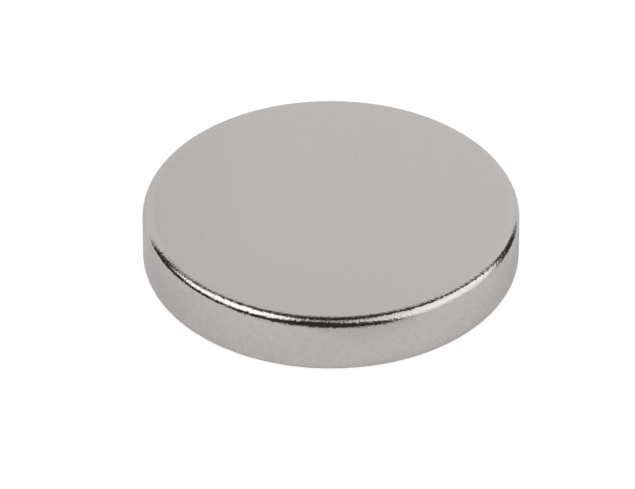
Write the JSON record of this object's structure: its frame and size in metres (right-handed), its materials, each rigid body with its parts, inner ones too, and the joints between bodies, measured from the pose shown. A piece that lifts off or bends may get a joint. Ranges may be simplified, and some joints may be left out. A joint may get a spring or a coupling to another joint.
{
  "type": "disc magnet",
  "caption": "Flat round disc magnet with plain faces, a straight wall and rounded edges, bright nickel-plated all over.",
  "frame": {"origin": "centre of the bottom face, on the disc's axis", "axes": "+Z along the disc's axis, from the bottom face to the top face; X and Y lie in the bottom face and are alike"},
  "size_m": [0.03, 0.03, 0.005],
  "materials": {
    "nickel_plate": "bright nickel plate over a tumbled and ground body, with a very fine grain"
  },
  "bodies": {
    "root": {"disc_magnet": "nickel_plate"}
  },
  "joints": []
}
